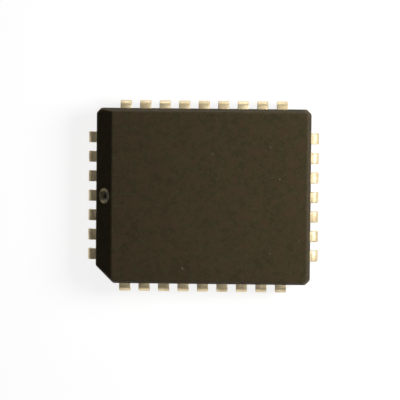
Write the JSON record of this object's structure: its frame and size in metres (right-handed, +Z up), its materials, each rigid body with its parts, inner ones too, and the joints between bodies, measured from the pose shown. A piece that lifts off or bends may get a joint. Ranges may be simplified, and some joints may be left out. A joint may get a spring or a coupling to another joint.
{
  "type": "plastic leaded chip carrier",
  "caption": "Flat rectangular moulded chip package with J-shaped leads on all four sides, a bevelled and dimpled pin 1 side and a chamfered index corner, with lead frame, die and wires.",
  "frame": {"origin": "middle of the package in the board plane that its feet stand on", "axes": "+X along the long sides, with the bevelled pin 1 side facing -X; +Z up, out of the top face"},
  "size_m": [0.015, 0.0124, 0.0034],
  "materials": {
    "mould_compound": "fine matte moulded epoxy, dark brown-black",
    "lead_plating": "warm satin tin plating",
    "frame_copper": "stamped copper alloy",
    "attach_adhesive": "cured silver-filled adhesive",
    "silicon": "polished silicon",
    "bond_gold": "drawn gold wire"
  },
  "bodies": {
    "root": {"mold_body": "mould_compound", "lead_01": "lead_plating", "lead_02": "lead_plating", "lead_03": "lead_plating", "lead_04": "lead_plating", "lead_05": "lead_plating", "lead_06": "lead_plating", "lead_07": "lead_plating", "lead_08": "lead_plating", "lead_09": "lead_plating", "lead_10": "lead_plating", "lead_11": "lead_plating", "lead_12": "lead_plating", "lead_13": "lead_plating", "lead_14": "lead_plating", "lead_15": "lead_plating", "lead_16": "lead_plating", "lead_17": "lead_plating", "lead_18": "lead_plating", "lead_19": "lead_plating", "lead_20": "lead_plating", "lead_21": "lead_plating", "lead_22": "lead_plating", "lead_23": "lead_plating", "lead_24": "lead_plating", "lead_25": "lead_plating", "lead_26": "lead_plating", "lead_27": "lead_plating", "lead_28": "lead_plating", "lead_29": "lead_plating", "lead_30": "lead_plating", "lead_31": "lead_plating", "lead_32": "lead_plating", "die_paddle": "frame_copper", "die_attach": "attach_adhesive", "silicon_die": "silicon", "bond_wires": "bond_gold"}
  },
  "joints": []
}
